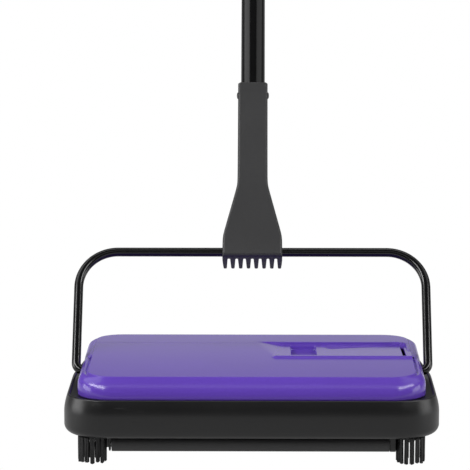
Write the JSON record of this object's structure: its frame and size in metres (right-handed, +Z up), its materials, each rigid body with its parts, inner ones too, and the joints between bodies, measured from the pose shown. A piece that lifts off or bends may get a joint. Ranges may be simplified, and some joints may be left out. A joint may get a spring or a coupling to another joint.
{
  "type": "carpet sweeper",
  "caption": "Push carpet sweeper: low black head with a glossy purple cover, roller brush, dust pans and corner brushes, wire bail, comb-ended handle socket and long round handle.",
  "frame": {"origin": "on the floor, in the middle of the sweeper's outline with its handle leaning back 35 degrees", "axes": "+Z up, +X across the head to its right, -Y towards the front of the head; the handle leans towards +Y"},
  "size_m": [0.278, 0.7134, 0.9271],
  "materials": {
    "purple_gloss": "glossy moulded",
    "black_plastic": "satin moulded",
    "black_satin": "satin moulded",
    "black_paint": "gloss paint",
    "bright_steel": "turned",
    "spring_steel": "drawn wire and strip",
    "grey_rubber": "matt",
    "black_bristle": "nylon filament",
    "grey_plastic": "moulded"
  },
  "bodies": {
    "head": {"frame_shell": "black_plastic", "top_cover": "purple_gloss", "end_plate_left": "grey_plastic", "end_plate_right": "grey_plastic", "cover_screw_front_left": "bright_steel", "cover_screw_front_right": "bright_steel", "cover_screw_rear_left": "bright_steel", "cover_screw_rear_right": "bright_steel", "axle_front_left": "bright_steel", "axle_front_right": "bright_steel", "axle_rear_left": "bright_steel", "axle_rear_right": "bright_steel", "corner_pin_front_left": "bright_steel", "corner_pin_front_right": "bright_steel", "corner_pin_rear_left": "bright_steel", "corner_pin_rear_right": "bright_steel", "brush_bearing_left": "grey_plastic", "brush_bearing_right": "grey_plastic", "bail_bush_left": "grey_plastic", "bail_bush_right": "grey_plastic", "front_pan_pin_left": "bright_steel", "front_pan_pin_right": "bright_steel", "rear_pan_pin_left": "bright_steel", "rear_pan_pin_right": "bright_steel", "front_pan_spring": "spring_steel", "rear_pan_spring": "spring_steel"},
    "brush": {"brush_core": "black_satin", "brush_bristles": "black_bristle", "brush_drum_left": "grey_rubber", "brush_drum_right": "grey_rubber", "brush_spindle": "bright_steel"},
    "wheel_front_left": {"wheel_hub_front_left": "grey_plastic", "tyre_front_left": "grey_rubber"},
    "wheel_front_right": {"wheel_hub_front_right": "grey_plastic", "tyre_front_right": "grey_rubber"},
    "wheel_rear_left": {"wheel_hub_rear_left": "grey_plastic", "tyre_rear_left": "grey_rubber"},
    "wheel_rear_right": {"wheel_hub_rear_right": "grey_plastic", "tyre_rear_right": "grey_rubber"},
    "corner_front_left": {"corner_brush_front_left": "black_bristle"},
    "corner_front_right": {"corner_brush_front_right": "black_bristle"},
    "corner_rear_left": {"corner_brush_rear_left": "black_bristle"},
    "corner_rear_right": {"corner_brush_rear_right": "black_bristle"},
    "front_pan": {"front_pan": "black_satin"},
    "rear_pan": {"rear_pan": "black_satin"},
    "handle": {"bail": "black_paint", "handle_socket": "black_satin", "button_spring": "spring_steel", "lower_tube": "black_paint", "middle_tube": "black_paint", "upper_tube": "black_paint", "grip": "black_satin"},
    "button_left": {"button_left": "black_satin"},
    "button_right": {"button_right": "black_satin"}
  },
  "joints": [
    {"name": "brush_spin", "type": "hinge", "parent": "head", "child": "brush", "pos_m": [0, -0.25922, 0.02877], "axis": [1, 0, 0], "continuous": true},
    {"name": "wheel_spin_front_left", "type": "hinge", "parent": "head", "child": "wheel_front_left", "pos_m": [-0.1055, -0.28722, 0.018], "axis": [1, 0, 0], "continuous": true},
    {"name": "wheel_spin_front_right", "type": "hinge", "parent": "head", "child": "wheel_front_right", "pos_m": [0.1055, -0.28722, 0.018], "axis": [1, 0, 0], "continuous": true},
    {"name": "wheel_spin_rear_left", "type": "hinge", "parent": "head", "child": "wheel_rear_left", "pos_m": [-0.1055, -0.23122, 0.018], "axis": [1, 0, 0], "continuous": true},
    {"name": "wheel_spin_rear_right", "type": "hinge", "parent": "head", "child": "wheel_rear_right", "pos_m": [0.1055, -0.23122, 0.018], "axis": [1, 0, 0], "continuous": true},
    {"name": "corner_spin_front_left", "type": "hinge", "parent": "head", "child": "corner_front_left", "pos_m": [-0.1175, -0.33722, 0.02], "axis": [0, 0, 1], "continuous": true},
    {"name": "corner_spin_front_right", "type": "hinge", "parent": "head", "child": "corner_front_right", "pos_m": [0.1175, -0.33722, 0.02], "axis": [0, 0, 1], "continuous": true},
    {"name": "corner_spin_rear_left", "type": "hinge", "parent": "head", "child": "corner_rear_left", "pos_m": [-0.1175, -0.18122, 0.02], "axis": [0, 0, 1], "continuous": true},
    {"name": "corner_spin_rear_right", "type": "hinge", "parent": "head", "child": "corner_rear_right", "pos_m": [0.1175, -0.18122, 0.02], "axis": [0, 0, 1], "continuous": true},
    {"name": "front_pan_swing", "type": "hinge", "parent": "head", "child": "front_pan", "pos_m": [0, -0.33922, 0.0146], "axis": [-1, 0, 0], "range_deg": [0, 60], "stiffness_Nm_per_rad": 0.05, "springref_deg": -45.84},
    {"name": "rear_pan_swing", "type": "hinge", "parent": "head", "child": "rear_pan", "pos_m": [0, -0.17922, 0.0146], "axis": [1, 0, 0], "range_deg": [0, 60], "stiffness_Nm_per_rad": 0.05, "springref_deg": -45.84},
    {"name": "bail_tilt", "type": "hinge", "parent": "head", "child": "handle", "pos_m": [0, -0.25922, 0.053], "axis": [1, 0, 0], "range_deg": [-43, 115]},
    {"name": "button_press_left", "type": "slide", "parent": "handle", "child": "button_left", "axis": [1, 0, 0], "range_m": [0, 0.003], "stiffness_N_per_m": 900, "springref_m": -0.002},
    {"name": "button_press_right", "type": "slide", "parent": "handle", "child": "button_right", "axis": [-1, 0, 0], "range_m": [0, 0.003], "stiffness_N_per_m": 900, "springref_m": -0.002}
  ],
  "couplings": [
    {"joint": "wheel_spin_front_left", "follows": "brush_spin", "ratio": -0.6667},
    {"joint": "wheel_spin_front_right", "follows": "brush_spin", "ratio": -0.6667},
    {"joint": "wheel_spin_rear_left", "follows": "brush_spin", "ratio": -0.6667},
    {"joint": "wheel_spin_rear_right", "follows": "brush_spin", "ratio": -0.6667}
  ]
}
